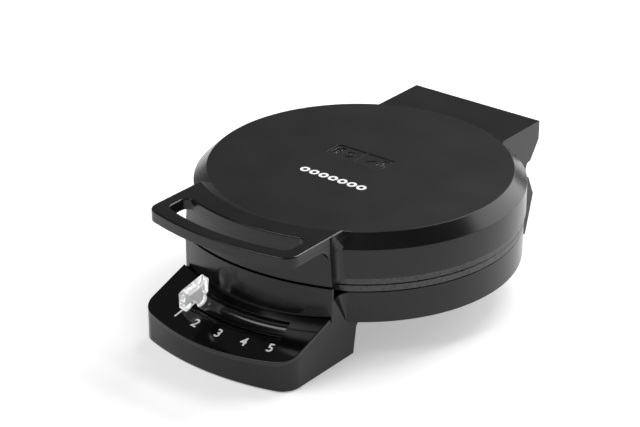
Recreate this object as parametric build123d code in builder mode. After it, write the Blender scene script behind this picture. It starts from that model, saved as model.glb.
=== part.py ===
from build123d import *
import os
from math import atan, cos, degrees, radians, sin, sqrt

os.makedirs("parts", exist_ok=True)

# Countertop donut maker, in millimetres. +Z is up, the handle points to -Y, the hinge is at +Y.
# The origin is under the middle of the overall box, at the surface it stands on.
# Sketches are drawn from the baking plates' upright axis, which stands at y = plate_y.

# Overall reach from the plates' axis
front_reach = 159.6
rear_reach = 135.8
plate_y = (front_reach - rear_reach) / 2

# Lid
lid_radius = 110.0
disc_radius = 101.2
disc_top = 84.9
chamfer_foot = 76.7
lid_foot = 56.8
shell = 2.6
slope_run = lid_radius - disc_radius

# Handle
handle_top = 90.0
handle_under = 82.6
handle_half = 57.7
handle_side_front = -143.6
handle_front = -152.0
slot_half = 48.5
slot_rear_side = -115.4
slot_rear = -124.6
slot_front_side = -134.9
slot_front = -142.4
band_foot = 80.5
arch_radius = 9.0

# Front wall, shared by the lid's front part and the base
front_half = 60.0
wall_front = -119.8
wall_side = -107.0
lid_front_foot = 57.0
side_hollow = 2.0
base_hollow_foot = 28.0
hollow_rear = -91.5
base_wall_top = 55.3
base_rim = 46.9

# Baking plates
plate_radius = 109.0
parting = 52.1
rim_gap = 0.1
shadow_gap = 0.8
deck_gap = 0.5
deck_thick = 3.0
cavity_major = 20.0
cavity_minor = 10.5
cavity_pitch = 66.0
plate_wall = 3.0
post_radius = 90.0

arch_front = wall_side - 0.4 - arch_radius
draft_top = handle_under + 2.0
chamfer_half = front_half - (front_half - handle_half) * (chamfer_foot - lid_front_foot) / (
    draft_top - lid_front_foot
)

front_inside = handle_half - shell - side_hollow

# Base pan
pan_radius = 108.8
pan_low = 25.8
pan_floor = 16.0
pan_floor_radius = 78.0
wall = 2.4
floor_gap = 1.0

# Control block and its sloping panel
block_half = 60.0
block_side_front = -148.6
block_front = -front_reach
block_rear = -85.0
block_corner = 13.0
panel_slope = degrees(atan(0.34))
panel_rear = -108.6
panel_rear_z = 35.7
panel_thick = 2.4

# Slider track, a ring band about an axis square to the panel
track_centre = 154.5
groove_inner = 172.0
groove_outer = 186.4
groove_depth = 4.6
rib_outer = 189.4
slit_inner = 182.6
slit_outer = 186.0
groove_angle = 12.9
knob_rest = -9.6
slider_travel = 20.8

# Hinge
hinge_half = 52.4
hinge_y = 121.5
hinge_z = 51.5
pin_radius = 2.0
knuckle_radius = 4.2
running_fit = 0.05
base_knuckle = (36.3, 46.0)
lid_knuckle = (24.5, 36.0)

# Cord gland in the rear block's sloping face
gland_z = 14.0
gland_y = 127.6
gland_tilt = radians(15.4)
gland_bore = 3.6
gland_barrel = 6.4

# Frames
plate_axis = Axis((0, plate_y, 0), (0, 0, 1))
plate_section = Plane(origin=(0, plate_y, 0), x_dir=(1, 0, 0), z_dir=(0, -1, 0))
panel_plane = Plane(
    origin=(0, plate_y + panel_rear, panel_rear_z),
    x_dir=(1, 0, 0),
    z_dir=(0, -sin(radians(panel_slope)), cos(radians(panel_slope))),
)
track_origin = panel_plane.from_local_coords((0, track_centre, 0))
track_axis = Axis(track_origin, panel_plane.z_dir)
gland_plane = Plane(
    origin=(0, plate_y + gland_y, gland_z), x_dir=(1, 0, 0), z_dir=(0, cos(gland_tilt), -sin(gland_tilt))
)


def level(height):
    """Level plane at a height, centred on the plates' axis."""
    return Plane((0, plate_y, height))


def side_plane(across):
    """Upright plane at x = across; local x runs to the rear from the plates' axis, local y is up."""
    return Plane(origin=(across, plate_y, 0), x_dir=(0, 1, 0), z_dir=(1, 0, 0))


def track_section(angle):
    """Plane through the track's axis; local x is the radius, local y is square to the panel."""
    turn = radians(angle)
    radial = panel_plane.x_dir * sin(turn) - panel_plane.y_dir * cos(turn)
    return Plane(origin=track_origin, x_dir=radial, z_dir=radial.cross(panel_plane.z_dir))


def bowed(half_width, rear, side_front, apex, corner=0.0):
    """Plan outline with straight sides, a straight rear and a front that bows out to apex."""
    with BuildSketch() as outline:
        with BuildLine():
            Polyline((-half_width, side_front), (-half_width, rear), (half_width, rear), (half_width, side_front))
            ThreePointArc((half_width, side_front), (0, apex), (-half_width, side_front))
        make_face()
        if corner > 0:
            fillet(outline.vertices().group_by(Axis.Y)[0], corner)
    return outline.sketch


def side_arc(hand, half_width, front, rear, depth):
    """Sliver between an upright side face at half_width and an arc that dips depth below it."""
    outside = hand * (half_width + 0.6)
    with BuildSketch() as sliver:
        with BuildLine():
            ThreePointArc(
                (hand * half_width, front), (hand * (half_width - depth), (front + rear) / 2),
                (hand * half_width, rear),
            )
            Polyline((hand * half_width, rear), (outside, rear), (outside, front), (hand * half_width, front))
        make_face()
    return sliver.sketch


def ring_band(inner, outer, half_angle):
    """Band of a ring about the track's centre, in the panel's own plane."""
    with BuildSketch() as band:
        with BuildLine():
            outside = CenterArc((0, track_centre), outer, -90 - half_angle, 2 * half_angle)
            inside = CenterArc((0, track_centre), inner, -90 - half_angle, 2 * half_angle)
            Line(outside @ 0, inside @ 0)
            Line(outside @ 1, inside @ 1)
        make_face()
    return band.sketch


def save(piece, name):
    """Label a finished piece and write it to its own STEP file."""
    piece.part.label = name
    export_step(piece.part, f"parts/{name}.step")


cavity_places = [(0.0, 0.0)] + [
    (cavity_pitch * cos(radians(60 * step)), cavity_pitch * sin(radians(60 * step))) for step in range(6)
]
post_places = [
    (post_radius * cos(radians(30 + 120 * step)), post_radius * sin(radians(30 + 120 * step))) for step in range(3)
]

# Recess for the indicator panel on the lid
indicator_x = -6.1
indicator_y = 8.3
indicator_length = 46.6
indicator_width = 17.2
indicator_depth = 1.8
window_offsets = ((-18.6, 0.8), (18.0, 0.2))
window_size = (6.0, 10.4)

# ---------------------------------------------------------------------------
# Lid housing: round shell, front part with the loop handle, hinge block
# ---------------------------------------------------------------------------
with BuildPart() as lid_housing:
    # Front part below the handle, and the rear hinge block
    with BuildSketch(level(lid_front_foot)):
        add(bowed(front_half, -80, wall_side, wall_front, 0.6))
    with BuildSketch(level(draft_top)):
        add(bowed(handle_half, -80, wall_side, wall_front, 0.6))
    loft()
    with BuildSketch(side_plane(-hinge_half)):
        with BuildLine():
            Polyline(
                (90, 83.5), (rear_reach, 83.5), (rear_reach, 69.9), (126.3, 56.8), (122.4, 56.0),
                (120.9, 52.3), (90, 52.3), close=True,
            )
        make_face()
    extrude(amount=2 * hinge_half)
    # Handle plate with its finger slot, and the two curved brackets under its arms
    with BuildSketch(level(handle_under)):
        add(bowed(handle_half, -80, handle_side_front, handle_front, 9.5))
    extrude(amount=handle_top - handle_under)
    for arm in (-handle_half, slot_half + 1.0):
        with BuildSketch(side_plane(arm)):
            with BuildLine():
                Polyline(
                    (arch_front, handle_under), (wall_side + 3, handle_under),
                    (wall_side + 3, handle_under - arch_radius), (wall_side - 0.4, handle_under - arch_radius),
                )
                RadiusArc(
                    (wall_side - 0.4, handle_under - arch_radius), (arch_front, handle_under), -arch_radius
                )
            make_face()
        extrude(amount=handle_half - slot_half - 1.0)
    # Thicker band behind the finger slot
    with BuildSketch(level(band_foot)):
        add(bowed(slot_half, -100, slot_rear_side, slot_rear))
    extrude(amount=handle_top - band_foot)
    with BuildSketch(level(lid_front_foot)):
        with BuildLine():
            ThreePointArc((-slot_half, slot_rear_side), (0, slot_rear), (slot_half, slot_rear_side))
            Line((slot_half, slot_rear_side), (slot_half, slot_front_side))
            ThreePointArc((slot_half, slot_front_side), (0, slot_front), (-slot_half, slot_front_side))
            Line((-slot_half, slot_front_side), (-slot_half, slot_rear_side))
        slot_face = make_face()
        fillet(slot_face.vertices(), 5.0)
    extrude(amount=handle_top - lid_front_foot + 1, mode=Mode.SUBTRACT)
    fillet(
        lid_housing.faces().sort_by(Axis.Z)[-1].edges().filter_by(
            lambda edge: edge.center().Y < plate_y - 116
        ),
        0.9,
    )
    # Hollow in each side face, fading out above the foot of the chamfer
    for hand in (-1, 1):
        for low, high in (
            ((lid_front_foot, front_half, hollow_rear, side_hollow), (chamfer_foot, chamfer_half, hollow_rear, side_hollow)),
            ((chamfer_foot, chamfer_half, hollow_rear, side_hollow), (handle_top, handle_half, -102.4, 0.25)),
        ):
            for height, half, rear, depth in (low, high):
                with BuildSketch(level(height)):
                    add(side_arc(hand, half, wall_side, rear, depth))
            loft(mode=Mode.SUBTRACT)
    # Conical slope from the handle plate down to the round disc
    with BuildSketch(plate_section):
        with BuildLine():
            Polyline(
                (0, disc_top - 4), (disc_radius, disc_top), (lid_radius, handle_top),
                (lid_radius + 3 * slope_run, handle_top + 3 * (handle_top - disc_top)),
                (0, handle_top + 3 * (handle_top - disc_top)), close=True,
            )
        make_face()
    revolve(axis=plate_axis, mode=Mode.SUBTRACT)
    # Round shell: disc, chamfer and wall
    with BuildSketch(plate_section):
        with BuildLine():
            Polyline(
                (0, disc_top), (disc_radius, disc_top), (lid_radius, chamfer_foot),
                (lid_radius, lid_foot), (0, lid_foot), close=True,
            )
        make_face()
    revolve(axis=plate_axis)
    # Room for the plates' round edge in the hinge block
    with BuildSketch(level(52.0)):
        Circle(plate_radius + 0.6)
    extrude(amount=lid_foot - 52.0, mode=Mode.SUBTRACT)
    # Hollow inside of the round shell, the front part and the hinge block
    with BuildSketch(plate_section):
        with BuildLine():
            Polyline(
                (0, disc_top - shell), (disc_radius - 1.1, disc_top - shell),
                (lid_radius - shell, chamfer_foot - 1.1), (lid_radius - shell, lid_foot - 1),
                (0, lid_foot - 1), close=True,
            )
        make_face()
    revolve(axis=plate_axis, mode=Mode.SUBTRACT)
    with BuildSketch(level(lid_front_foot + shell)):
        add(bowed(front_inside, -90, wall_side + shell, wall_front + shell))
    extrude(amount=disc_top - 2 * shell - lid_front_foot, mode=Mode.SUBTRACT)
    with BuildSketch(side_plane(shell - hinge_half)):
        with BuildLine():
            Polyline(
                (95, 80.9), (rear_reach - shell, 80.9), (rear_reach - shell, 70.9),
                (125.2, 59.6), (95, 59.6), close=True,
            )
        make_face()
    extrude(amount=2 * (hinge_half - shell), mode=Mode.SUBTRACT)
    # Screw bosses that hold the upper plate
    with BuildSketch(level(64.0)):
        with Locations(*post_places):
            Circle(4.6)
    extrude(amount=disc_top - shell - 64.0 + 0.5)
    with BuildSketch(level(64.0)):
        with Locations(*post_places):
            Circle(1.7)
    extrude(amount=14.0, mode=Mode.SUBTRACT)
    # Recess and opening for the indicator panel
    with BuildSketch(level(disc_top - indicator_depth)):
        with Locations((indicator_x, indicator_y)):
            RectangleRounded(indicator_length, indicator_width, 3.0)
    extrude(amount=indicator_depth + 1, mode=Mode.SUBTRACT)
    with BuildSketch(level(disc_top - 5)):
        with Locations((indicator_x, indicator_y)):
            RectangleRounded(indicator_length - 1.4, indicator_width - 1.4, 2.4)
    extrude(amount=5, mode=Mode.SUBTRACT)
    # Hinge: round pocket for the base's knuckles, then the lid's own knuckles on short webs
    with BuildSketch(side_plane(-47.0)):
        with Locations((hinge_y, hinge_z)):
            Circle(knuckle_radius + 0.8)
    extrude(amount=94.0, mode=Mode.SUBTRACT)
    for start in (lid_knuckle[0], -lid_knuckle[1]):
        with BuildSketch(side_plane(start)):
            with Locations((hinge_y, hinge_z)):
                Circle(knuckle_radius)
            with Locations((hinge_y - 0.6, hinge_z + 4.5)):
                Rectangle(6.6, 7.0)
            with Locations((hinge_y, hinge_z)):
                Circle(pin_radius + running_fit, mode=Mode.SUBTRACT)
        extrude(amount=lid_knuckle[1] - lid_knuckle[0])
save(lid_housing, "lid_housing")

# ---------------------------------------------------------------------------
# Base housing: control block, front wall, round pan, rear hinge block
# ---------------------------------------------------------------------------
block_outline = bowed(block_half, block_rear, block_side_front, block_front, block_corner)
block_inside = offset(block_outline, amount=-wall)

with BuildPart() as base_housing:
    # Control block up to the underside of its panel, hollow and open below
    with BuildSketch(level(floor_gap)):
        add(block_outline)
    extrude(amount=base_rim - floor_gap)
    with BuildSketch(panel_plane.offset(-panel_thick)):
        with Locations((0, -40)):
            Rectangle(2 * block_half + 10, 120)
    extrude(amount=60, mode=Mode.SUBTRACT)
    with BuildSketch(level(floor_gap)):
        add(block_inside)
    extrude(amount=base_rim, mode=Mode.SUBTRACT)
    # Front wall and the ledge behind it
    with BuildSketch(level(26.0)):
        add(bowed(front_half, -85, wall_side, wall_front, 0.8))
    extrude(amount=base_wall_top - 26.0)
    with BuildSketch(level(base_rim)):
        add(bowed(front_half + 2, -80, wall_side + shell, wall_front + shell))
    extrude(amount=20, mode=Mode.SUBTRACT)
    with BuildSketch(level(20.0)):
        add(bowed(front_inside, -88, wall_side + shell, wall_front + shell))
    extrude(amount=base_rim - wall - 20.0, mode=Mode.SUBTRACT)
    # Hollow in each side face, fading out downwards
    for hand in (-1, 1):
        with BuildSketch(level(base_hollow_foot)):
            add(side_arc(hand, front_half, hollow_rear - 1.8, hollow_rear, 0.1))
        with BuildSketch(level(base_rim)):
            add(side_arc(hand, front_half, wall_side + shell, hollow_rear, side_hollow))
        loft(mode=Mode.SUBTRACT)
    # Sloping rear face of the control block
    with BuildSketch(side_plane(-block_half)):
        with BuildLine():
            Polyline(
                (block_rear - wall, floor_gap), (block_rear, floor_gap), (block_rear + 3, 19.5),
                (block_rear + 7.5, 24.0), (block_rear + 7.5, 30.0), (block_rear - wall, 30.0), close=True,
            )
        make_face()
    extrude(amount=2 * block_half)
    # Rear hinge block, hollow and open below
    with BuildSketch(side_plane(-hinge_half)):
        with BuildLine():
            Polyline(
                (88, 51.9), (120.9, 51.9), (122.2, 46.2), (125, 44.6), (131.9, 29.7),
                (124, floor_gap), (88, floor_gap), close=True,
            )
        make_face()
    extrude(amount=2 * hinge_half)
    with BuildSketch(side_plane(wall - hinge_half)):
        with BuildLine():
            Polyline(
                (88 + wall, 43.5), (122.6, 43.5), (129.2, 29.9), (121.5, floor_gap),
                (88 + wall, floor_gap), close=True,
            )
        make_face()
    extrude(amount=2 * (hinge_half - wall), mode=Mode.SUBTRACT)
    # Round pan with a sloping underside
    with BuildSketch(plate_section):
        with BuildLine():
            Polyline(
                (0, base_rim), (pan_radius, base_rim), (pan_radius, pan_low),
                (pan_floor_radius, pan_floor), (0, pan_floor), close=True,
            )
        make_face()
    revolve(axis=plate_axis)
    with BuildSketch(plate_section):
        with BuildLine():
            Polyline(
                (0, base_rim + 1), (pan_radius - wall, base_rim + 1), (pan_radius - wall, pan_low + 1.5),
                (pan_floor_radius - 1, pan_floor + wall), (0, pan_floor + wall), close=True,
            )
        make_face()
    revolve(axis=plate_axis, mode=Mode.SUBTRACT)
    # Room for the plates' round edge above the rim
    with BuildSketch(level(base_rim)):
        Circle(plate_radius + 0.6)
    extrude(amount=20, mode=Mode.SUBTRACT)
    # Doorways for the leads between the pan and the two blocks
    for across in (-100, 100):
        with BuildSketch(level(31.0)):
            with Locations((0, across)):
                Rectangle(24, 26)
        extrude(amount=9, mode=Mode.SUBTRACT)
    # Screw bosses under the lower plate, with sunk screw heads
    with BuildSketch(level(pan_floor + 6)):
        with Locations(*post_places):
            Circle(5.2)
    extrude(amount=11.0)
    with BuildSketch(level(pan_floor)):
        with Locations(*post_places):
            Circle(2.2)
    extrude(amount=20, mode=Mode.SUBTRACT)
    with BuildSketch(level(pan_floor)):
        with Locations(*post_places):
            Circle(4.0)
    extrude(amount=9, mode=Mode.SUBTRACT)
    # Hinge: round pocket for the lid's knuckles, then the base's own knuckles on short webs
    with BuildSketch(side_plane(-47.0)):
        with Locations((hinge_y, hinge_z)):
            Circle(knuckle_radius + 0.8)
    extrude(amount=94.0, mode=Mode.SUBTRACT)
    for start in (base_knuckle[0], -base_knuckle[1]):
        with BuildSketch(side_plane(start)):
            with Locations((hinge_y, hinge_z)):
                Circle(knuckle_radius)
            with Locations((hinge_y - 0.6, hinge_z - 4.5)):
                Rectangle(6.0, 7.0)
            with Locations((hinge_y, hinge_z)):
                Circle(pin_radius, mode=Mode.SUBTRACT)
        extrude(amount=base_knuckle[1] - base_knuckle[0])
    # Hole for the cord gland
    with BuildSketch(gland_plane.offset(-9)):
        Circle(gland_barrel)
    extrude(amount=12, mode=Mode.SUBTRACT)
save(base_housing, "base_housing")

# ---------------------------------------------------------------------------
# Control panel with the curved slot, and the channel set under it
# ---------------------------------------------------------------------------
with BuildPart() as control_panel:
    with BuildSketch(level(0)):
        add(block_outline)
    extrude(amount=base_rim)
    with BuildSketch(panel_plane):
        with Locations((0, -40)):
            Rectangle(2 * block_half + 10, 140)
    extrude(amount=60, mode=Mode.SUBTRACT)
    with BuildSketch(panel_plane.offset(-panel_thick)):
        with Locations((0, -40)):
            Rectangle(2 * block_half + 10, 140)
    extrude(amount=-60, mode=Mode.SUBTRACT)
    with BuildSketch(level(0)):
        add(bowed(block_half + 5, block_rear + 5, wall_side, wall_front))
    extrude(amount=base_rim, mode=Mode.SUBTRACT)
    with BuildSketch(panel_plane.offset(-panel_thick)):
        add(ring_band(groove_inner, rib_outer, groove_angle))
    extrude(amount=2 * panel_thick, mode=Mode.SUBTRACT)
    fillet(control_panel.edges().group_by(Axis(panel_plane.origin, panel_plane.z_dir))[-1].filter_by(
        lambda edge: edge.center().Y < plate_y + block_side_front + 2 or abs(edge.center().X) > block_half - 5
    ), 0.5)
save(control_panel, "control_panel")

with BuildPart() as slider_track:
    with BuildSketch(track_section(-groove_angle)):
        with BuildLine():
            # Channel floor is a round trough; the slit and the ribbed ledge lie in front of it
            Polyline(
                (groove_inner, -panel_thick), (groove_inner, -groove_depth - 2), (slit_inner, -groove_depth - 2),
                (slit_inner, -groove_depth + 1.2),
            )
            ThreePointArc(
                (slit_inner, -groove_depth + 1.2), (groove_inner + 6.6, -groove_depth),
                (groove_inner + 1.2, -panel_thick),
            )
            Line((groove_inner + 1.2, -panel_thick), (groove_inner, -panel_thick))
        make_face()
        with BuildLine():
            Polyline(
                (slit_outer, -0.9), (rib_outer, -0.9), (rib_outer, -groove_depth - 2),
                (slit_outer, -groove_depth - 2), close=True,
            )
        make_face()
    revolve(axis=track_axis, revolution_arc=2 * groove_angle)
    # Flange under the panel and end walls that join both rails
    with BuildSketch(panel_plane.offset(-groove_depth - 2)):
        add(ring_band(groove_inner - 3, rib_outer + 3, groove_angle + 1.2))
        add(ring_band(groove_inner, rib_outer, groove_angle), mode=Mode.SUBTRACT)
    extrude(amount=groove_depth + 2 - panel_thick)
save(slider_track, "slider_track")

# ---------------------------------------------------------------------------
# Bottom covers, feet and cover screws
# ---------------------------------------------------------------------------
cover_thick = 2.0
front_foot_places = ((-44, -139), (44, -139))
rear_foot_places = ((-42, 113), (42, 113))
front_screw_places = ((-48, -96), (48, -96), (0, -150))
rear_screw_places = ((-24, 96), (24, 96))
foot_radius = 6.0
foot_stem = 2.5
screw_radius = 1.5


def bottom_cover(outline, foot_places, screw_places):
    """Flat cover set into the bottom of a block, with holes for feet and screws."""
    with BuildPart() as cover:
        with BuildSketch(level(floor_gap)):
            add(outline)
            with Locations(*foot_places):
                Circle(foot_stem, mode=Mode.SUBTRACT)
            with Locations(*screw_places):
                Circle(screw_radius, mode=Mode.SUBTRACT)
        extrude(amount=cover_thick)
    return cover


control_cover = bottom_cover(offset(block_outline, amount=-wall - 0.1), front_foot_places, front_screw_places)
save(control_cover, "control_cover")

with BuildSketch() as rear_opening:
    with Locations((0, (88 + wall + 121.7) / 2)):
        Rectangle(2 * (hinge_half - wall) - 0.2, 121.3 - 88 - wall)
hinge_cover = bottom_cover(rear_opening.sketch, rear_foot_places, rear_screw_places)
save(hinge_cover, "hinge_cover")


def feet(places):
    """Rubber feet: a disc below the cover and a stem pressed into it."""
    with BuildPart() as group:
        with BuildSketch(level(0)):
            with Locations(*places):
                Circle(foot_radius)
        extrude(amount=floor_gap)
        chamfer(group.edges().group_by(Axis.Z)[0], 0.3)
        with BuildSketch(level(floor_gap)):
            with Locations(*places):
                Circle(foot_stem)
        extrude(amount=cover_thick + 0.6)
    return group


front_feet = feet(front_foot_places)
save(front_feet, "front_feet")
rear_feet = feet(rear_foot_places)
save(rear_feet, "rear_feet")

with BuildPart() as cover_posts:
    with BuildSketch(level(floor_gap + cover_thick)):
        with Locations(*front_screw_places, *rear_screw_places):
            Circle(3.6)
            Circle(screw_radius, mode=Mode.SUBTRACT)
    extrude(amount=9.0)
save(cover_posts, "cover_posts")

with BuildPart() as cover_screws:
    with BuildSketch(level(floor_gap - 0.7)):
        with Locations(*front_screw_places, *rear_screw_places):
            Circle(2.8)
    extrude(amount=0.7)
    with BuildSketch(level(floor_gap)):
        with Locations(*front_screw_places, *rear_screw_places):
            Circle(screw_radius)
    extrude(amount=10.0)
save(cover_screws, "cover_screws")

# ---------------------------------------------------------------------------
# Baking plates: a round plate with seven ring cavities; the upper one is its mirror image
# ---------------------------------------------------------------------------
lower_deck = parting - deck_gap
upper_deck = parting + deck_gap
post_overlap = 0.5
plate_thread = 11.0
screw_shank = 1.7
screw_head = 3.5
screw_sink = 2.0


def baking_plate(deck, away, rim_face, rim_back, post_end):
    """One plate; away is -1 for the lower plate and 1 for the upper, whose cavities go up."""
    with BuildPart() as plate:
        with BuildSketch(level(deck)):
            Circle(plate_radius - 1)
        extrude(amount=away * deck_thick)
        with BuildSketch(level(rim_back)):
            Circle(plate_radius)
            Circle(plate_radius - 4.5, mode=Mode.SUBTRACT)
        extrude(amount=rim_face - rim_back)
        rim_edges = plate.edges().filter_by_position(Axis.Z, rim_face - 0.01, rim_face + 0.01)
        fillet(rim_edges.sort_by(SortBy.RADIUS)[-1], 0.6)
        for minor, mode in ((cavity_minor + plate_wall, Mode.ADD), (cavity_minor, Mode.SUBTRACT)):
            for east, north in cavity_places:
                centre = (east, plate_y + north, deck)
                with BuildSketch(Plane(origin=centre, x_dir=(1, 0, 0), z_dir=(0, -1, 0))):
                    with BuildLine():
                        ThreePointArc(
                            (cavity_major - minor, 0), (cavity_major, away * minor), (cavity_major + minor, 0)
                        )
                        Line((cavity_major + minor, 0), (cavity_major - minor, 0))
                    make_face()
                revolve(axis=Axis(centre, (0, 0, 1)), mode=mode)
        post_root = deck + away * (deck_thick - post_overlap)
        with BuildSketch(level(post_end)):
            with Locations(*post_places):
                Circle(4.6)
        extrude(amount=post_root - post_end)
        with BuildSketch(level(post_end)):
            with Locations(*post_places):
                Circle(screw_shank)
        extrude(amount=-away * plate_thread, mode=Mode.SUBTRACT)
        if away > 0:
            # The upper plate's screws pass through it, with their heads sunk in its deck
            with BuildSketch(level(deck)):
                with Locations(*post_places):
                    Circle(screw_head + 0.1)
            extrude(amount=screw_sink, mode=Mode.SUBTRACT)
    return plate


lower_post_end = 33.0
upper_post_end = 64.0
lower_baking_plate = baking_plate(lower_deck, -1, parting - rim_gap, base_rim + shadow_gap, lower_post_end)
save(lower_baking_plate, "lower_baking_plate")
upper_baking_plate = baking_plate(upper_deck, 1, parting + rim_gap, lid_foot, upper_post_end)
save(upper_baking_plate, "upper_baking_plate")

# ---------------------------------------------------------------------------
# Heating elements, reflectors, clips and plate screws
# ---------------------------------------------------------------------------
element_radius = 66.0
element_tube = 3.2
element_gap = 0.3
element_turn = 9.0
leg_length = 14.0
reflector_radius = 101.0
cavity_depth = cavity_minor + plate_wall
lower_element_z = lower_deck - cavity_depth - element_tube - element_gap
upper_element_z = upper_deck + cavity_depth + element_tube + element_gap


def heating_element(height):
    """Tubular element: an open ring behind the cavities, with two legs turned outwards at the rear."""
    with BuildPart() as element:
        with BuildLine(level(height)) as path:
            ring = CenterArc((0, 0), element_radius, 100, 340)
            for end, heading, turn in ((ring @ 1, ring % 1, -85), (ring @ 0, -(ring % 0), 85)):
                bend = JernArc(end, heading, element_turn, turn)
                Line(bend @ 1, bend @ 1 + (bend % 1) * leg_length)
        with BuildSketch(Plane(origin=path.wire() @ 0, z_dir=path.wire() % 0)):
            Circle(element_tube)
        sweep(path=path.wire())
    return element


def reflector(floor_z, rim_z, radius, notch_z):
    """Thin sheet dish behind an element, with holes for the screw posts."""
    lift = 0.6 if rim_z > floor_z else -0.6
    with BuildPart() as dish:
        with BuildSketch(plate_section):
            with BuildLine():
                Polyline(
                    (0, floor_z), (radius, floor_z), (radius + 3, rim_z), (radius + 2.4, rim_z),
                    (radius - 0.5, floor_z + lift), (0, floor_z + lift), close=True,
                )
            make_face()
        revolve(axis=plate_axis)
        with BuildSketch(level(floor_z - 20)):
            with Locations(*post_places):
                Circle(5.6)
        extrude(amount=40, mode=Mode.SUBTRACT)
        # Notch for the element's leads
        with BuildSketch(side_plane(-12)):
            with Locations((radius, notch_z)):
                Rectangle(12, 9)
        extrude(amount=24, mode=Mode.SUBTRACT)
    return dish


def element_clips(tube_z, away):
    """Three hooks that hang from the back of a plate's deck and hold the element's tube."""
    deck_back = parting + away * (deck_gap + deck_thick)
    hook_face = tube_z + away * element_tube
    hook_thick = 1.4
    with BuildPart() as clips:
        with BuildSketch(level(deck_back)):
            with PolarLocations(element_radius + 7.9, 3, start_angle=30):
                Rectangle(4.6, 4.0)
        extrude(amount=hook_face + away * hook_thick - deck_back)
        with BuildSketch(level(hook_face)):
            with PolarLocations(element_radius + 3.0, 3, start_angle=30):
                Rectangle(14.4, 4.0)
        extrude(amount=away * hook_thick)
    return clips


def plate_screws(head_z, tip_z):
    """Three screws from a head at head_z to a tip at tip_z."""
    with BuildPart() as screws:
        with BuildSketch(level(head_z)):
            with Locations(*post_places):
                Circle(screw_head)
        extrude(amount=screw_sink)
        with BuildSketch(level(head_z + screw_sink)):
            with Locations(*post_places):
                Circle(screw_shank)
        extrude(amount=tip_z - head_z - screw_sink)
    return screws


lower_heating_element = heating_element(lower_element_z)
save(lower_heating_element, "lower_heating_element")
upper_heating_element = heating_element(upper_element_z)
save(upper_heating_element, "upper_heating_element")
lower_reflector = reflector(28.6, 45.5, reflector_radius, lower_element_z)
save(lower_reflector, "lower_reflector")
upper_reflector = reflector(76.0, 58.0, reflector_radius, upper_element_z + 3)
save(upper_reflector, "upper_reflector")
lower_element_clips = element_clips(lower_element_z, -1)
save(lower_element_clips, "lower_element_clips")
upper_element_clips = element_clips(upper_element_z, 1)
save(upper_element_clips, "upper_element_clips")
lower_plate_screws = plate_screws(pan_floor + 9 - screw_sink, lower_post_end + plate_thread - 1)
save(lower_plate_screws, "lower_plate_screws")
upper_plate_screws = plate_screws(upper_deck, upper_post_end + 12)
save(upper_plate_screws, "upper_plate_screws")

# ---------------------------------------------------------------------------
# Thermostat, thermal fuse, heat regulator, terminal block, leads and cord gland
# ---------------------------------------------------------------------------
between_cavities = cavity_pitch / sqrt(3)
deck_back_low = lower_deck - deck_thick

with BuildPart() as thermostat_body:
    with BuildSketch(level(30.0)):
        with Locations((0, -between_cavities)):
            Circle(8.0)
    extrude(amount=7.4)
    with BuildSketch(level(37.4)):
        with Locations((0, -between_cavities)):
            Circle(3.5)
    extrude(amount=deck_back_low - 37.4)
save(thermostat_body, "thermostat_body")

fuse_x = -between_cavities * cos(radians(30))
fuse_y = between_cavities * sin(radians(30))
with BuildPart() as thermal_fuse:
    with BuildSketch(side_plane(fuse_x - 7)):
        with Locations((fuse_y, 34.6)):
            Circle(2.6)
    extrude(amount=14)
    with BuildSketch(level(34.6)):
        with Locations((fuse_x, fuse_y)):
            Rectangle(4, 4)
    extrude(amount=deck_back_low - 34.6)
save(thermal_fuse, "thermal_fuse")

board_top = -12.0
board_thick = 1.6
contact_thick = 0.6
contact_band = (176.0, 182.0)
step_angle = slider_travel / 4

with BuildPart() as regulator_board:
    with BuildSketch(panel_plane.offset(board_top - board_thick)):
        add(ring_band(168, 190, 14.6))
    extrude(amount=board_thick)
save(regulator_board, "regulator_board")

with BuildPart() as regulator_contacts:
    contact = extrude(
        panel_plane.offset(board_top) * ring_band(*contact_band, 1.2), amount=contact_thick, mode=Mode.PRIVATE
    )
    for step in range(5):
        add(contact.rotate(track_axis, knob_rest + step * step_angle))
save(regulator_contacts, "regulator_contacts")

spacer_top = -groove_depth - 2
with BuildPart() as board_spacers:
    with BuildSketch(panel_plane.offset(board_top)):
        for angle in (-13.5, 13.5):
            for radius in (175.0, 185.0):
                with Locations(
                    (radius * sin(radians(angle)), track_centre - radius * cos(radians(angle)))
                ):
                    Circle(1.4)
    extrude(amount=spacer_top - board_top)
save(board_spacers, "board_spacers")

terminal_y = 110.5
lead_drop_y = 112.0

with BuildPart() as terminal_block:
    with BuildSketch(level(floor_gap + cover_thick)):
        with Locations((0, terminal_y)):
            Rectangle(30, 12)
    extrude(amount=11)
    chamfer(terminal_block.edges().group_by(Axis.Z)[-1], 0.8)
    with BuildSketch(level(floor_gap + cover_thick + 5)):
        with Locations((0, terminal_y + 3)):
            with GridLocations(8, 1, 3, 1):
                Circle(1.4)
    extrude(amount=7, mode=Mode.SUBTRACT)
save(terminal_block, "terminal_block")

lead_radius = 1.1
leg_x = 5.3
leg_y = 90.0


def leads(routes, bend_radius):
    """Insulated leads along straight runs joined by arcs; points are (x, y, z) from the plates' axis."""
    with BuildPart() as group:
        for route in routes:
            with BuildLine() as path:
                FilletPolyline(*[(x, plate_y + y, z) for x, y, z in route], radius=bend_radius)
            with BuildSketch(Plane(origin=path.line @ 0, z_dir=path.line % 0)):
                Circle(lead_radius)
            sweep(path=path.wire())
    return group


terminal_top = floor_gap + cover_thick + 11
base_routes = [
    (
        (across, leg_y, lower_element_z), (across, lead_drop_y, lower_element_z),
        (across, lead_drop_y, terminal_top),
    )
    for across in (-leg_x, leg_x)
]
base_leads = leads(base_routes, 8)
save(base_leads, "base_leads")

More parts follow.
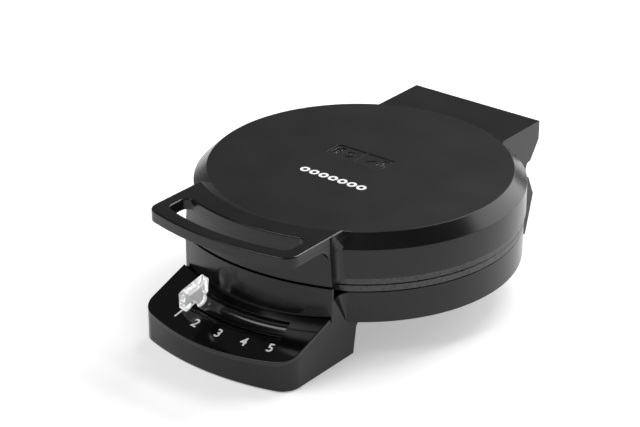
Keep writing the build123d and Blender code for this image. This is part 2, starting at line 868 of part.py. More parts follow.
with BuildPart() as cord_gland:
    with BuildSketch(gland_plane):
        Circle(8.5)
    extrude(amount=1.8)
    chamfer(cord_gland.edges().sort_by(Axis(gland_plane.origin, gland_plane.z_dir))[-1], 0.6)
    with BuildSketch(gland_plane.offset(-9)):
        Circle(gland_barrel)
    extrude(amount=9)
    with BuildSketch(gland_plane.offset(-9)):
        Circle(gland_bore)
    extrude(amount=12, mode=Mode.SUBTRACT)
save(cord_gland, "cord_gland")

with BuildPart() as hinge_pins:
    for start in (lid_knuckle[0] - 0.5, -base_knuckle[1] - 0.5):
        with BuildSketch(side_plane(start)):
            with Locations((hinge_y, hinge_z)):
                Circle(pin_radius)
        extrude(amount=base_knuckle[1] - lid_knuckle[0] + 1)
save(hinge_pins, "hinge_pins")

# ---------------------------------------------------------------------------
# Indicator panel on the lid, its two windows, the lamps and their holder
# ---------------------------------------------------------------------------
indicator_top = disc_top - 0.5
indicator_seat = disc_top - indicator_depth
window_places = [(indicator_x + across, indicator_y + along) for across, along in window_offsets]
window_length, window_width = window_size[1], window_size[0]

with BuildPart() as indicator_panel:
    with BuildSketch(level(indicator_seat)):
        with Locations((indicator_x, indicator_y)):
            RectangleRounded(indicator_length - 0.2, indicator_width - 0.2, 2.9)
        with Locations(*window_places):
            RectangleRounded(window_width, window_length, 1.2, mode=Mode.SUBTRACT)
    extrude(amount=indicator_top - indicator_seat)
save(indicator_panel, "indicator_panel")


def lens(place):
    """Clear window: a flanged block with three raised bars on its face."""
    with BuildPart() as window:
        with BuildSketch(level(indicator_seat - 1.0)):
            with Locations(place):
                RectangleRounded(window_width + 1.6, window_length + 1.6, 1.2)
        extrude(amount=1.0)
        with BuildSketch(level(indicator_seat)):
            with Locations(place):
                RectangleRounded(window_width, window_length, 1.2)
        extrude(amount=indicator_top - indicator_seat - 0.3)
        with BuildSketch(level(indicator_top - 0.3)):
            with Locations(place):
                with GridLocations(1.9, 1, 3, 1):
                    Rectangle(1.0, window_length - 1.6)
        extrude(amount=0.3)
    return window


power_lens = lens(window_places[0])
save(power_lens, "power_lens")
ready_lens = lens(window_places[1])
save(ready_lens, "ready_lens")

holder_floor = 76.8
holder_top = 78.4
holder_posts = [
    (indicator_x + 25.5 * across, indicator_y + 10.5 * along) for across in (-1, 1) for along in (-1, 1)
]
with BuildPart() as lamp_holder:
    with BuildSketch(level(holder_floor)):
        with Locations((indicator_x, indicator_y)):
            RectangleRounded(56, 26, 3)
    extrude(amount=holder_top - holder_floor)
    with BuildSketch(level(holder_top)):
        with Locations(*holder_posts):
            Circle(1.8)
    extrude(amount=disc_top - shell - holder_top)
save(lamp_holder, "lamp_holder")

lamp_radius = 1.7
with BuildPart() as neon_lamps:
    for across, along in window_places:
        lamp_centre = Plane(
            origin=(across, plate_y + along - 4, holder_top + lamp_radius), x_dir=(1, 0, 0), z_dir=(0, 1, 0)
        )
        with BuildSketch(lamp_centre):
            Circle(lamp_radius)
        extrude(amount=8)
    fillet(neon_lamps.edges().filter_by(GeomType.CIRCLE), 1.2)
save(neon_lamps, "neon_lamps")

lid_route_height = 79.3
lamp_end = indicator_y + 15
lid_routes = [
    (
        (across, leg_y, upper_element_z), (across, 101, upper_element_z), (across, 101, lid_route_height),
        (across, lamp_end, lid_route_height),
    )
    for across in (-leg_x, leg_x)
]
lid_leads = leads(lid_routes, 4)
save(lid_leads, "lid_leads")

# ---------------------------------------------------------------------------
# Heat slider: clear knob, carriage under the track and wiper spring
# ---------------------------------------------------------------------------
knob_half_angle = 1.08
knob_rear = 168.9
knob_front = 192.6
knob_height = 12.4
notch_height = 1.8
stem_inner = 183.2
stem_outer = 185.4
carriage_top = -groove_depth - 2.4
carriage_thick = 2.0

with BuildPart() as slider_knob:
    with BuildSketch(track_section(knob_rest - knob_half_angle)):
        with BuildLine():
            Polyline(
                (173.8, -1.5), (174.6, 2.4), (knob_rear + 3.3, 3.0), (knob_rear, knob_height),
                (knob_front - 5.3, knob_height - 0.2), (knob_front - 2.6, knob_height - 1.3), (knob_front, 1.6),
                (knob_front - 0.8, 0.7), (188.8, 0.7), (187.4, notch_height), (182.0, notch_height),
                (182.0, -2.6),
            )
            ThreePointArc((182.0, -2.6), (178.2, -3.8), (173.8, -1.5))
        make_face()
    revolve(axis=track_axis, revolution_arc=2 * knob_half_angle)
save(slider_knob, "slider_knob")

with BuildPart() as slider_carriage:
    with BuildSketch(track_section(knob_rest - 1.0)):
        with Locations(((stem_inner + stem_outer) / 2, (notch_height + carriage_top) / 2)):
            Rectangle(stem_outer - stem_inner, notch_height - carriage_top)
    revolve(axis=track_axis, revolution_arc=2.0)
    with BuildSketch(track_section(knob_rest - 1.5)):
        with Locations((182.0, carriage_top - carriage_thick / 2)):
            Rectangle(16.0, carriage_thick)
    revolve(axis=track_axis, revolution_arc=3.0)
save(slider_carriage, "slider_carriage")

wiper_low = board_top + contact_thick + 0.1
wiper_high = carriage_top - carriage_thick
with BuildPart() as wiper_spring:
    with BuildSketch(track_section(knob_rest - 0.7)):
        with BuildLine():
            Polyline((176.5, wiper_high), (182.5, wiper_high), (182.5, wiper_high - 0.5), (179.6, wiper_low),
                     (178.4, wiper_low), (176.5, wiper_high - 0.5), close=True)
        make_face()
    revolve(axis=track_axis, revolution_arc=1.4)
save(wiper_spring, "wiper_spring")
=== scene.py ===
import math

import bmesh
import bpy
from mathutils import Matrix, Vector


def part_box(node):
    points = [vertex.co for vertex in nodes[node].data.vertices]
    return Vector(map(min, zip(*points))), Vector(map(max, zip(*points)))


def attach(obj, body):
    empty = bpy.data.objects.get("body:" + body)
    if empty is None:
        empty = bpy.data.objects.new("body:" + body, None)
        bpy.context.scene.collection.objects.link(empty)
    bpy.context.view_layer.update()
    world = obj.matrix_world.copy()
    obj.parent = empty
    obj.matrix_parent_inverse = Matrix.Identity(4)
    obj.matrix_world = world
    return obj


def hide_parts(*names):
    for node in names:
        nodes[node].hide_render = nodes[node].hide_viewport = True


# Donut maker on a pale floor. Metres, in the CAD model's frame: +Z up, handle towards -Y.

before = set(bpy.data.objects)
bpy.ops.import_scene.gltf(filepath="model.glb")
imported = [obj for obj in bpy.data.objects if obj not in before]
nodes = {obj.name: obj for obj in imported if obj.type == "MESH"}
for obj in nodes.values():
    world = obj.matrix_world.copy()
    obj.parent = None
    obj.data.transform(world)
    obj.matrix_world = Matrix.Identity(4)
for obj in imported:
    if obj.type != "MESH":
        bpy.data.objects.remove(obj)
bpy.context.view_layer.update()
scene = bpy.context.scene

MM = 0.001

# Places that follow from the CAD model
lid_low, lid_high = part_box("lid_housing")
plate_low, plate_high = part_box("upper_baking_plate")
plate_y = (plate_low.y + plate_high.y) / 2
indicator_low, indicator_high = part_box("indicator_panel")
handle_top = lid_high.z
disc_drop = 5.1 * MM
disc_top = handle_top - disc_drop
disc_tolerance = 0.35 * MM

# Control panel plane and the slider track's axis on it
panel_slope = math.atan(0.34)
panel_origin = Vector((0, plate_y - 108.6 * MM, 35.7 * MM))
panel_up = Vector((0, math.cos(panel_slope), math.sin(panel_slope)))
panel_normal = Vector((0, -math.sin(panel_slope), math.cos(panel_slope)))
track_centre = 154.5 * MM


def track_frame(radius, degrees, height=0.0):
    """Frame on the panel: x runs along the arc, y towards the track's axis, z square to the panel."""
    turn = math.radians(degrees)
    along = Vector((math.cos(turn), 0, 0)) + panel_up * math.sin(turn)
    inward = Vector((-math.sin(turn), 0, 0)) + panel_up * math.cos(turn)
    place = panel_origin + panel_up * track_centre - inward * radius + panel_normal * height
    turned = Matrix((along, inward, panel_normal)).transposed().to_4x4()
    return Matrix.Translation(place) @ turned


# ---------------------------------------------------------------------------
# Camera
# ---------------------------------------------------------------------------
camera_azimuth = math.radians(38.27)
camera_elevation = math.radians(25.97)
camera_distance = 1.331
camera_aim = Vector((0, -0.0310, 0.0647))


def direction(azimuth, elevation):
    """Unit vector towards a compass direction: azimuth 0 is -Y and 90 degrees is +X, in radians."""
    return Vector((
        math.sin(azimuth) * math.cos(elevation),
        -math.cos(azimuth) * math.cos(elevation),
        math.sin(elevation),
    ))


camera_data = bpy.data.cameras.new("camera")
camera_data.lens = 115.5
camera_data.sensor_width = 36.0
camera_data.clip_start = 0.05
camera = bpy.data.objects.new("camera", camera_data)
back = direction(camera_azimuth, camera_elevation)
camera.location = camera_aim + back * camera_distance
camera.rotation_euler = back.to_track_quat("Z", "Y").to_euler()
scene.collection.objects.link(camera)
scene.camera = camera


# ---------------------------------------------------------------------------
# Material helpers
# ---------------------------------------------------------------------------
def new_material(name):
    """New node material. Returns the material, its links and its principled shader."""
    material = bpy.data.materials.new(name)
    material.use_nodes = True
    tree = material.node_tree
    return material, tree.links, tree.nodes["Principled BSDF"]


def place_in_row(tree_nodes):
    """Texture coordinate in the row frame, in metres."""
    return tree_nodes.new("ShaderNodeTexCoord").outputs["Object"]


def noise(material, size, detail=2.0, stretch=None):
    """Noise whose grains are about size metres. stretch scales each axis of the grain."""
    tree = material.node_tree
    grain = tree.nodes.new("ShaderNodeTexNoise")
    grain.inputs["Scale"].default_value = 1.0 / size
    grain.inputs["Detail"].default_value = detail
    where = place_in_row(tree.nodes)
    if stretch is not None:
        mapping = tree.nodes.new("ShaderNodeMapping")
        mapping.inputs["Scale"].default_value = [1.0 / s for s in stretch]
        tree.links.new(where, mapping.inputs["Vector"])
        where = mapping.outputs["Vector"]
    tree.links.new(where, grain.inputs["Vector"])
    return grain.outputs["Fac"]


def spread(material, value, low, high, start=0.3, end=0.7):
    """Map a 0 to 1 value to the range low to high."""
    node = material.node_tree.nodes.new("ShaderNodeMapRange")
    node.inputs["From Min"].default_value = start
    node.inputs["From Max"].default_value = end
    node.inputs["To Min"].default_value = low
    node.inputs["To Max"].default_value = high
    material.node_tree.links.new(value, node.inputs["Value"])
    return node.outputs["Result"]


def two_tone(material, value, dark, light):
    """Colour between dark and light, picked by a 0 to 1 value."""
    ramp = material.node_tree.nodes.new("ShaderNodeValToRGB")
    ramp.color_ramp.elements[0].position = 0.3
    ramp.color_ramp.elements[0].color = (*dark, 1)
    ramp.color_ramp.elements[1].position = 0.7
    ramp.color_ramp.elements[1].color = (*light, 1)
    material.node_tree.links.new(value, ramp.inputs["Fac"])
    return ramp.outputs["Color"]


def bump(material, height, depth, strength=1.0, normal=None):
    """Bump whose full height is depth metres. Returns the normal."""
    node = material.node_tree.nodes.new("ShaderNodeBump")
    node.inputs["Distance"].default_value = depth
    node.inputs["Strength"].default_value = strength
    material.node_tree.links.new(height, node.inputs["Height"])
    if normal is not None:
        material.node_tree.links.new(normal, node.inputs["Normal"])
    return node.outputs["Normal"]


def soft_edges(material, radius):
    """Normal that rounds sharp edges over radius metres."""
    node = material.node_tree.nodes.new("ShaderNodeBevel")
    node.samples = 6
    node.inputs["Radius"].default_value = radius
    return node.outputs["Normal"]


def edge_mask(material, radius):
    """1 on edges, where a painted highlight goes, and 0 on flat faces, from how far the rounded normal leans
    from the true one.
    """
    tree = material.node_tree
    geometry = tree.nodes.new("ShaderNodeNewGeometry")
    lean = tree.nodes.new("ShaderNodeVectorMath")
    lean.operation = "DOT_PRODUCT"
    tree.links.new(soft_edges(material, radius), lean.inputs[0])
    tree.links.new(geometry.outputs["True Normal"], lean.inputs[1])
    return spread(material, lean.outputs["Value"], 1.0, 0.0, start=0.8, end=0.985)


def mix_value(material, mask, off, on):
    """off where the mask is 0 and on where it is 1. Each is a socket or a number."""
    node = material.node_tree.nodes.new("ShaderNodeMix")
    node.data_type = "FLOAT"
    material.node_tree.links.new(mask, node.inputs[0])
    for socket, value in ((node.inputs[2], off), (node.inputs[3], on)):
        if isinstance(value, float):
            socket.default_value = value
        else:
            material.node_tree.links.new(value, socket)
    return node.outputs[0]


def mix_colour(material, mask, off, on):
    """off where the mask is 0 and on where it is 1. off is a socket, on is a colour."""
    node = material.node_tree.nodes.new("ShaderNodeMix")
    node.data_type = "RGBA"
    material.node_tree.links.new(mask, node.inputs[0])
    material.node_tree.links.new(off, node.inputs[6])
    node.inputs[7].default_value = (*on, 1)
    return node.outputs[2]


def moulded_plastic(
    name, dark, light, rough, grain=0.5 * MM, relief=0.004 * MM, edge=0.5 * MM, sheen=0.5, edge_highlight_gain=1.6
):
    """Moulded plastic: fine texture, uneven gloss, rounded edges painted paler as a highlight. The last
    argument is how much paler the edges are painted.
    """
    material, links, shader = new_material(name)
    shader.inputs["Specular IOR Level"].default_value = sheen
    cloudy = noise(material, 30 * MM, 3.0)
    fine = noise(material, grain, 1.0)
    # Edges painted paler than the body: a painted highlight on the rounded edges.
    painted_edge_highlight = edge_mask(material, edge)
    colour = mix_colour(material, painted_edge_highlight, two_tone(material, cloudy, dark, light), [c * edge_highlight_gain for c in light])
    links.new(colour, shader.inputs["Base Color"])
    gloss = mix_value(material, painted_edge_highlight, spread(material, cloudy, rough - 0.03, rough + 0.04), rough * 0.9)
    links.new(gloss, shader.inputs["Roughness"])
    links.new(bump(material, fine, relief, normal=soft_edges(material, edge)), shader.inputs["Normal"])
    return material


def brushed_metal(name, dark, light, rough, stretch=(1.0, 1.0, 1.0), grain=0.4 * MM, relief=0.003 * MM):
    """Metal with a drawn or turned grain and a cloudy tint."""
    material, links, shader = new_material(name)
    shader.inputs["Metallic"].default_value = 1.0
    tint = noise(material, 12 * MM, 4.0)
    lines = noise(material, grain, 2.0, stretch)
    links.new(two_tone(material, tint, dark, light), shader.inputs["Base Color"])
    links.new(spread(material, lines, rough - 0.06, rough + 0.08), shader.inputs["Roughness"])
    links.new(bump(material, lines, relief, normal=soft_edges(material, 0.2 * MM)), shader.inputs["Normal"])
    return material


# ---------------------------------------------------------------------------
# Materials
# ---------------------------------------------------------------------------
def lid_plastic():
    """Black housing of the lid: satin walls, and a finer matt texture over the round disc."""
    material, links, shader = new_material("lid_plastic")
    shader.inputs["Specular IOR Level"].default_value = 0.38
    cloudy = noise(material, 40 * MM, 3.0)
    fine = noise(material, 0.45 * MM, 1.0)
    painted_edge_highlight = edge_mask(material, 0.5 * MM)
    # Mask of the disc: flat ground near disc_top
    tree_nodes = material.node_tree.nodes
    split = tree_nodes.new("ShaderNodeSeparateXYZ")
    links.new(place_in_row(tree_nodes), split.inputs[0])
    near = tree_nodes.new("ShaderNodeMath")
    near.operation = "COMPARE"
    near.inputs[1].default_value = disc_top
    near.inputs[2].default_value = disc_tolerance
    links.new(split.outputs["Z"], near.inputs[0])
    colour = two_tone(material, cloudy, (0.0042, 0.0042, 0.0045), (0.0065, 0.0065, 0.007))
    # Edges painted much paler than the body: a painted highlight.
    links.new(mix_colour(material, painted_edge_highlight, colour, (0.034, 0.034, 0.036)), shader.inputs["Base Color"])
    satin = spread(material, cloudy, 0.2, 0.25)
    matt = spread(material, cloudy, 0.33, 0.38)
    links.new(mix_value(material, near.outputs[0], satin, matt), shader.inputs["Roughness"])
    shallow = bump(material, fine, 0.003 * MM, normal=soft_edges(material, 0.5 * MM))
    links.new(shallow, shader.inputs["Normal"])
    return material


def gloss_plastic(name, colour, rough=0.07):
    """Polished black plastic with a faint moulding ripple and fine dust specks."""
    material, links, shader = new_material(name)
    ripple = noise(material, 9 * MM, 1.0)
    specks = noise(material, 0.3 * MM, 2.0)
    dusty = spread(material, specks, rough, rough + 0.05, 0.45, 0.75)
    links.new(dusty, shader.inputs["Roughness"])
    links.new(two_tone(material, ripple, colour, [c * 1.3 for c in colour]), shader.inputs["Base Color"])
    normal = bump(material, ripple, 0.004 * MM, normal=soft_edges(material, 0.4 * MM))
    links.new(normal, shader.inputs["Normal"])
    return material


def coated_plate():
    """Cast plate with a thin non-stick coating: mottled sheen, and edges painted paler, both as a painted
    highlight and as rubbed coating.
    """
    material, links, shader = new_material("coated_plate")
    shader.inputs["Metallic"].default_value = 0.55
    mottle = noise(material, 2.2 * MM, 5.0)
    fine = noise(material, 0.35 * MM, 2.0)
    painted_edge_highlight = edge_mask(material, 0.4 * MM)
    colour = two_tone(material, mottle, (0.035, 0.035, 0.036), (0.075, 0.075, 0.077))
    links.new(mix_colour(material, painted_edge_highlight, colour, (0.14, 0.14, 0.14)), shader.inputs["Base Color"])
    links.new(spread(material, mottle, 0.26, 0.42), shader.inputs["Roughness"])
    rough_cast = bump(material, mottle, 0.03 * MM, normal=soft_edges(material, 0.3 * MM))
    links.new(bump(material, fine, 0.006 * MM, normal=rough_cast), shader.inputs["Normal"])
    return material


def clear_plastic(name, tint, rough, milk=0.0, glow=0.0):
    """Clear plastic, faintly uneven. milk is its share of cloudy white, glow a painted glow: emission that
    makes the plastic shine though it is no lamp.
    """
    material, links, shader = new_material(name)
    # Emission is painted light: it brightens the clear plastic without a lamp.
    shader.inputs["Emission Color"].default_value = (*tint, 1)
    shader.inputs["Emission Strength"].default_value = glow
    shader.inputs["Transmission Weight"].default_value = 1.0 - milk
    shader.inputs["IOR"].default_value = 1.49
    ripple = noise(material, 3 * MM, 2.0)
    links.new(two_tone(material, ripple, [c * 0.96 for c in tint], tint), shader.inputs["Base Color"])
    links.new(spread(material, ripple, rough, rough + 0.03), shader.inputs["Roughness"])
    links.new(bump(material, ripple, 0.02 * MM), shader.inputs["Normal"])
    return material


def rubber(name, colour):
    """Matt rubber with a powdery surface."""
    material, links, shader = new_material(name)
    powder = noise(material, 0.8 * MM, 4.0)
    links.new(two_tone(material, powder, colour, [c * 1.5 for c in colour]), shader.inputs["Base Color"])
    links.new(spread(material, powder, 0.7, 0.85), shader.inputs["Roughness"])
    normal = bump(material, powder, 0.02 * MM, normal=soft_edges(material, 0.3 * MM))
    links.new(normal, shader.inputs["Normal"])
    return material


def print_white():
    """White pad-printed ink, slightly uneven."""
    material, links, shader = new_material("print_white")
    ink = noise(material, 0.7 * MM, 3.0)
    links.new(two_tone(material, ink, (0.94, 0.94, 0.94), (1.0, 1.0, 1.0)), shader.inputs["Base Color"])
    links.new(spread(material, ink, 0.4, 0.55), shader.inputs["Roughness"])
    links.new(bump(material, ink, 0.004 * MM), shader.inputs["Normal"])
    return material


looks = {
    "lid_plastic": lid_plastic(),
    # Base edges painted five times paler: a strong painted highlight.
    "base_plastic": moulded_plastic(
        "base_plastic", (0.004, 0.004, 0.0043), (0.006, 0.006, 0.0065), 0.15, sheen=0.36, edge_highlight_gain=5.0
    ),
    "cover_plastic": moulded_plastic(
        "cover_plastic", (0.014, 0.014, 0.015), (0.02, 0.02, 0.021), 0.42, relief=0.01 * MM
    ),
    "panel_gloss": gloss_plastic("panel_gloss", (0.0028, 0.0028, 0.003)),
    "track_gloss": gloss_plastic("track_gloss", (0.004, 0.004, 0.0042), 0.12),
    "indicator_plastic": moulded_plastic(
        "indicator_plastic", (0.006, 0.006, 0.0065), (0.009, 0.009, 0.0095), 0.3, edge=0.25 * MM
    ),
    "plate_coating": coated_plate(),
    # The knob's glow is painted light: emission that makes it look brighter.
    "clear_knob": clear_plastic("clear_knob", (0.99, 0.995, 0.995), 0.03, milk=0.08, glow=0.16),
    "clear_lens": clear_plastic("clear_lens", (0.8, 0.82, 0.84), 0.12),
    "lamp_glass": clear_plastic("lamp_glass", (0.95, 0.85, 0.75), 0.02),
    "foot_rubber": rubber("foot_rubber", (0.02, 0.02, 0.02)),
    "gland_rubber": rubber("gland_rubber", (0.014, 0.014, 0.014)),
    "lead_sleeve": rubber("lead_sleeve", (0.62, 0.61, 0.58)),
    "screw_steel": brushed_metal("screw_steel", (0.5, 0.5, 0.51), (0.62, 0.62, 0.62), 0.3),
    "clip_steel": brushed_metal("clip_steel", (0.42, 0.42, 0.42), (0.55, 0.55, 0.54), 0.35, (4.0, 1.0, 1.0)),
    "pin_steel": brushed_metal("pin_steel", (0.55, 0.55, 0.56), (0.66, 0.66, 0.66), 0.22, (1.0, 8.0, 8.0)),
    "element_sheath": brushed_metal("element_sheath", (0.16, 0.14, 0.11), (0.3, 0.27, 0.22), 0.42),
    "reflector_sheet": brushed_metal(
        "reflector_sheet", (0.68, 0.68, 0.69), (0.8, 0.8, 0.81), 0.25, (8.0, 1.0, 1.0)
    ),
    "contact_metal": brushed_metal("contact_metal", (0.62, 0.46, 0.2), (0.75, 0.6, 0.32), 0.28),
    "thermostat_glaze": moulded_plastic("thermostat_glaze", (0.7, 0.67, 0.6), (0.8, 0.78, 0.72), 0.25),
    "board_laminate": moulded_plastic(
        "board_laminate", (0.16, 0.1, 0.04), (0.24, 0.16, 0.07), 0.5, grain=0.9 * MM
    ),
    "natural_plastic": moulded_plastic("natural_plastic", (0.62, 0.61, 0.57), (0.7, 0.69, 0.65), 0.4),
    "print_white": print_white(),
}

node_looks = {
    "lid_housing": "lid_plastic",
    "base_housing": "base_plastic",
    "control_panel": "panel_gloss",
    "slider_track": "track_gloss",
    "control_cover": "cover_plastic",
    "hinge_cover": "cover_plastic",
    "front_feet": "foot_rubber",
    "rear_feet": "foot_rubber",
    "cover_posts": "cover_plastic",
    "cover_screws": "screw_steel",
    "lower_baking_plate": "plate_coating",
    "upper_baking_plate": "plate_coating",
    "lower_heating_element": "element_sheath",
    "upper_heating_element": "element_sheath",
    "lower_reflector": "reflector_sheet",
    "upper_reflector": "reflector_sheet",
    "lower_element_clips": "clip_steel",
    "upper_element_clips": "clip_steel",
    "lower_plate_screws": "screw_steel",
    "upper_plate_screws": "screw_steel",
    "thermostat_body": "thermostat_glaze",
    "thermal_fuse": "clip_steel",
    "regulator_board": "board_laminate",
    "regulator_contacts": "contact_metal",
    "board_spacers": "cover_plastic",
    "terminal_block": "natural_plastic",
    "base_leads": "lead_sleeve",
    "lid_leads": "lead_sleeve",
    "cord_gland": "gland_rubber",
    "hinge_pins": "pin_steel",
    "indicator_panel": "indicator_plastic",
    "power_lens": "clear_lens",
    "ready_lens": "clear_lens",
    "lamp_holder": "natural_plastic",
    "neon_lamps": "lamp_glass",
    "slider_knob": "clear_knob",
    "slider_carriage": "cover_plastic",
    "wiper_spring": "contact_metal",
}
for node_name, look in node_looks.items():
    slots = nodes[node_name].data.materials
    slots.clear()
    slots.append(looks[look])


# ---------------------------------------------------------------------------
# Piece helpers
# ---------------------------------------------------------------------------
def add_piece(name, mesh, look, body):
    """Link a mesh as a piece that rides on a CAD body."""
    mesh.materials.clear()
    mesh.materials.append(looks[look])
    piece = bpy.data.objects.new(name, mesh)
    scene.collection.objects.link(piece)
    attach(piece, body)
    return piece


def mesh_from(bm, name):
    """Mesh from a bmesh, with outward normals."""
    bmesh.ops.recalc_face_normals(bm, faces=bm.faces)
    mesh = bpy.data.meshes.new(name)
    bm.to_mesh(mesh)
    bm.free()
    return mesh


def add_prism(bm, outline, height, to_row):
    """Closed prism on an outline of (x, y) points, height metres tall, placed by to_row."""
    low = [bm.verts.new(to_row @ Vector((x, y, 0))) for x, y in outline]
    top = [bm.verts.new(to_row @ Vector((x, y, height))) for x, y in outline]
    bm.faces.new(low)
    bm.faces.new(top)
    for k in range(len(outline)):
        after = (k + 1) % len(outline)
        bm.faces.new((low[k], low[after], top[after], top[k]))


def add_ring(bm, outer, inner, height, to_row, steps=40):
    """Closed flat ring, placed by to_row."""
    loops = []
    for radius, rise in ((outer, 0.0), (outer, height), (inner, height), (inner, 0.0)):
        loops.append([
            bm.verts.new(to_row @ Vector((
                radius * math.cos(2 * math.pi * k / steps), radius * math.sin(2 * math.pi * k / steps), rise
            )))
            for k in range(steps)
        ])
    for a in range(4):
        first, second = loops[a], loops[(a + 1) % 4]
        for k in range(steps):
            after = (k + 1) % steps
            bm.faces.new((first[k], first[after], second[after], second[k]))


# ---------------------------------------------------------------------------
# Printed marks: a plain row of rings on the lid, and the heat steps on the panel
# ---------------------------------------------------------------------------
print_depth = 0.06 * MM

rings = bmesh.new()
ring_count = 7
ring_pitch = 7.7 * MM
ring_outer = 3.4 * MM
ring_inner = 1.5 * MM
ring_row_y = plate_y - 29.3 * MM
for k in range(ring_count):
    ring_x = (k - (ring_count - 1) / 2) * ring_pitch
    place = Matrix.Translation((ring_x, ring_row_y, disc_top))
    add_ring(rings, ring_outer, ring_inner, print_depth, place)
add_piece("lid_print", mesh_from(rings, "lid_print"), "print_white", "lid")


digit_size = 9.4 * MM
digit_boldness = 0.15 * MM
digit_radius = 195.6 * MM
digit_angles = (-9.9, -5.1, 0.6, 6.4, 12.0)


def add_digit(text, radius, degrees):
    """One printed digit on the panel, with its foot towards the front."""
    curve = bpy.data.curves.new("digit", "FONT")
    curve.body = text
    curve.size = digit_size
    curve.offset = digit_boldness
    curve.extrude = print_depth / 2
    curve.resolution_u = 5
    curve.align_x = "CENTER"
    curve.align_y = "CENTER"
    source = bpy.data.objects.new("digit", curve)
    mesh = bpy.data.meshes.new_from_object(source)
    mesh.transform(track_frame(radius, degrees, print_depth / 2))
    bpy.data.objects.remove(source)
    bpy.data.curves.remove(curve)
    add_piece("digit_" + text, mesh, "print_white", "base")


for step, degrees in enumerate(digit_angles, start=1):
    add_digit(str(step), digit_radius, degrees)


# ---------------------------------------------------------------------------
# Fine slanting ribs on the ledge in front of the slider's slit
# ---------------------------------------------------------------------------
ledge_inner = 186.6 * MM
ledge_outer = 189.2 * MM
ledge_height = -0.9 * MM
rib_half_angle = 12.6
rib_pitch = 0.4
rib_lean = 0.45
rib_width = 0.19
rib_rise = 0.35 * MM

ribs = bmesh.new()
rib_total = int(2 * rib_half_angle / rib_pitch)
for k in range(rib_total):
    at = -rib_half_angle + rib_pitch * (k + 0.5)
    corners = []
    for radius, degrees in (
        (ledge_inner, at), (ledge_outer, at - rib_lean), (ledge_outer, at - rib_lean + rib_width),
        (ledge_inner, at + rib_width),
    ):
        corners.append(track_frame(radius, degrees, ledge_height).translation)
    low = [ribs.verts.new(corner) for corner in corners]
    top = [ribs.verts.new(corner + panel_normal * rib_rise) for corner in corners]
    ribs.faces.new(low)
    ribs.faces.new(top)
    for n in range(4):
        ribs.faces.new((low[n], low[(n + 1) % 4], top[(n + 1) % 4], top[n]))
add_piece("track_ribs", mesh_from(ribs, "track_ribs"), "track_gloss", "base")


# ---------------------------------------------------------------------------
# Raised lines and plain signs on the indicator panel
# ---------------------------------------------------------------------------
signs = bmesh.new()
indicator_x = (indicator_low.x + indicator_high.x) / 2
indicator_y = (indicator_low.y + indicator_high.y) / 2
indicator_face = indicator_high.z
divider_length = indicator_high.y - indicator_low.y - 0.6 * MM
divider_width = 0.9 * MM
stroke_width = 0.9 * MM
sign_rise = 0.35 * MM


def on_indicator(across, along, turn=0.0):
    """Frame on the indicator panel's face, at millimetres from its middle."""
    place = (indicator_x + across * MM, indicator_y + along * MM, indicator_face)
    return Matrix.Translation(place) @ Matrix.Rotation(math.radians(turn), 4, "Z")


def add_bar(length, width, to_row):
    """Raised bar that runs along its frame's x."""
    x, y = length / 2, width / 2
    add_prism(signs, ((-x, -y), (x, -y), (x, y), (-x, y)), sign_rise, to_row)


# Divider in the middle and a shorter one near the end
add_bar(divider_length, divider_width, on_indicator(0.0, 0.0, 90.0))
add_bar(divider_length - 3 * MM, divider_width, on_indicator(21.6, 0.0, 90.0))
# Power sign: a ring round a short stroke
power_sign = (-8.6, 0.3)
add_ring(signs, 3.9 * MM, 2.9 * MM, sign_rise, on_indicator(*power_sign))
add_bar(3.4 * MM, stroke_width, on_indicator(*power_sign, 90.0))
# Ready sign: a tick
add_bar(3.2 * MM, stroke_width, on_indicator(6.2, -1.2, -45.0))
add_bar(6.2 * MM, stroke_width, on_indicator(9.1, 0.0, 50.0))
signs_mesh = mesh_from(signs, "indicator_signs")
add_piece("indicator_signs", signs_mesh, "indicator_plastic", "lid")


# ---------------------------------------------------------------------------
# Clear slider knob: a rounded slab with a scooped top, a stem in the track and a foot in front of it
# ---------------------------------------------------------------------------
knob_angle = -9.6
knob_half = 3.3 * MM
knob_end_width = 0.8
knob_end_pinch = 6
rim_width = 1.0 * MM
rim_slope = 0.1 * MM
shoulder_width = 0.4 * MM
shoulder_drop = 0.6 * MM
scoop_depth = 4.2 * MM
scoop_fullness = 0.6

# Side outline as pairs of an underside point and a rim point, each (radius, height) in millimetres
knob_stations = (
    ((172.3, 3.6), (169.0, 11.6)),
    ((172.6, 3.1), (169.4, 12.4)),
    ((174.4, 2.4), (171.6, 12.5)),
    ((174.7, -0.8), (173.2, 12.5)),
    ((176.0, -2.4), (175.2, 12.5)),
    ((178.4, -3.5), (178.0, 12.4)),
    ((181.0, -3.5), (180.8, 12.4)),
    ((182.3, -2.8), (183.0, 12.3)),
    ((182.6, 1.8), (184.6, 12.3)),
    ((187.2, 1.8), (187.0, 12.2)),
    ((188.8, 0.8), (188.4, 11.8)),
    ((191.8, 0.8), (189.8, 11.2)),
    ((192.6, 1.6), (190.3, 10.4)),
)


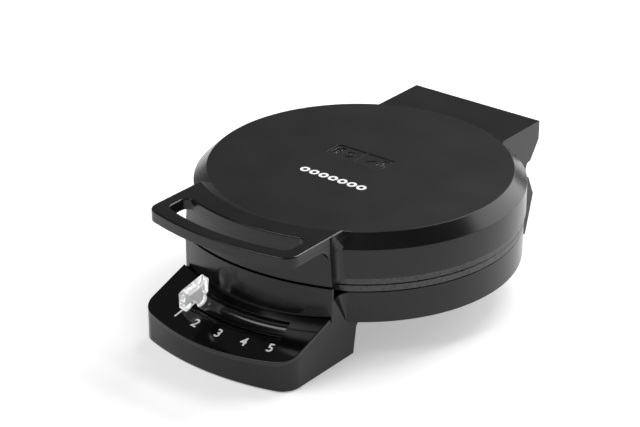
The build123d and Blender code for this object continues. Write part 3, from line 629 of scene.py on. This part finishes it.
def knob_section(station, count, low, top):
    """Closed loop of points across the knob at one station: underside, side, rim, scoop, rim, side."""
    along = station / (count - 1)
    pinch = min(along, 1 - along) * knob_end_pinch
    rounding = math.sqrt(1 - (1 - min(1.0, pinch)) ** 2)
    half = knob_half * (knob_end_width + (1 - knob_end_width) * rounding)
    inside = 0 < station < count - 1
    scoop = scoop_depth * math.sin(math.pi * along) ** scoop_fullness if inside else 0.0
    inner = half - rim_width
    # Points as (across, share of the way up, drop)
    outline = [(-half, 0.0, 0.0), (-half, 0.5, 0.0), (-half, 1.0, -shoulder_drop)]
    outline += [(-half + shoulder_width, 1.0, 0.0), (-inner, 1.0, -rim_slope)]
    outline += [(inner * k / 3, 1.0, -scoop * (1 - abs(k / 3) ** 3)) for k in (-2, -1, 0, 1, 2)]
    outline += [(inner, 1.0, -rim_slope), (half - shoulder_width, 1.0, 0.0)]
    outline += [(half, 1.0, -shoulder_drop), (half, 0.5, 0.0), (half, 0.0, 0.0)]
    points = []
    for across, rise, drop in outline:
        radius = (low[0] + (top[0] - low[0]) * rise) * MM
        height = (low[1] + (top[1] - low[1]) * rise) * MM + drop
        points.append(track_frame(radius, knob_angle, height) @ Vector((across, 0, 0)))
    return points


def knob_mesh():
    """Loft of cross-sections along the knob, from the rear end to the front end."""
    bm = bmesh.new()
    count = len(knob_stations)
    loops = [
        [bm.verts.new(point) for point in knob_section(station, count, low, top)]
        for station, (low, top) in enumerate(knob_stations)
    ]
    for first, second in zip(loops, loops[1:]):
        for k in range(len(first)):
            after = (k + 1) % len(first)
            bm.faces.new((first[k], first[after], second[after], second[k]))
    bm.faces.new(loops[0])
    bm.faces.new(loops[-1])
    return mesh_from(bm, "slider_knob_clear")


knob = add_piece("slider_knob_clear", knob_mesh(), "clear_knob", "heat_slider")
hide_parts("slider_knob")
knob_bevel = knob.modifiers.new("round_edges", "BEVEL")
knob_bevel.width = 0.3 * MM
knob_bevel.segments = 3
knob_bevel.limit_method = "ANGLE"
knob_bevel.angle_limit = math.radians(50)
for polygon in knob.data.polygons:
    polygon.use_smooth = True


# ---------------------------------------------------------------------------
# Floor, background and lights
# ---------------------------------------------------------------------------
def pale_floor():
    """Large plain pale floor at the object's feet, with a slight glow so that it stays near white."""
    material, links, shader = new_material("floor_pale")
    cloudy = noise(material, 0.4, 2.0)
    links.new(two_tone(material, cloudy, (0.83, 0.83, 0.83), (0.85, 0.85, 0.85)), shader.inputs["Base Color"])
    shader.inputs["Roughness"].default_value = 0.8
    shader.inputs["Emission Color"].default_value = (1, 1, 1, 1)
    shader.inputs["Emission Strength"].default_value = 0.4
    bm = bmesh.new()
    half = 6.0
    corners = [bm.verts.new((x * half, y * half, 0)) for x, y in ((-1, -1), (1, -1), (1, 1), (-1, 1))]
    bm.faces.new(corners)
    mesh = bpy.data.meshes.new("floor")
    bm.to_mesh(mesh)
    bm.free()
    mesh.materials.append(material)
    floor = bpy.data.objects.new("floor", mesh)
    scene.collection.objects.link(floor)


def softbox(name, azimuth, elevation, distance, width, height, radiance):
    """Rectangular soft light facing the object from a direction in degrees."""
    data = bpy.data.lights.new(name, "AREA")
    data.shape = "RECTANGLE"
    data.size = width
    data.size_y = height
    data.energy = radiance * math.pi * width * height
    light = bpy.data.objects.new(name, data)
    towards = direction(math.radians(azimuth), math.radians(elevation))
    light.location = towards * distance + Vector((0, 0, disc_top))
    light.rotation_euler = towards.to_track_quat("Z", "Y").to_euler()
    scene.collection.objects.link(light)


def studio_world():
    """Dim ceiling with a paler band near the horizon."""
    world = bpy.data.worlds.new("studio")
    scene.world = world
    world.use_nodes = True
    tree = world.node_tree
    background = tree.nodes["Background"]
    coordinate = tree.nodes.new("ShaderNodeTexCoord")
    split = tree.nodes.new("ShaderNodeSeparateXYZ")
    ramp = tree.nodes.new("ShaderNodeValToRGB")
    ramp.color_ramp.elements[0].position = 0.1
    ramp.color_ramp.elements[0].color = (0.3, 0.3, 0.3, 1)
    ramp.color_ramp.elements[1].position = 0.6
    ramp.color_ramp.elements[1].color = (0.1, 0.1, 0.1, 1)
    tree.links.new(coordinate.outputs["Generated"], split.inputs[0])
    tree.links.new(split.outputs["Z"], ramp.inputs["Fac"])
    tree.links.new(ramp.outputs["Color"], background.inputs["Color"])
    background.inputs["Strength"].default_value = 1.0


pale_floor()
studio_world()
softbox("right_rear", 153, 20, 1.8, 1.7, 1.4, 3.0)
softbox("left_front", -28, 54, 2.0, 1.2, 1.0, 4.6)
softbox("rear_rim", 178, 52, 2.0, 1.3, 0.5, 12.0)
scene.view_settings.view_transform = "Standard"
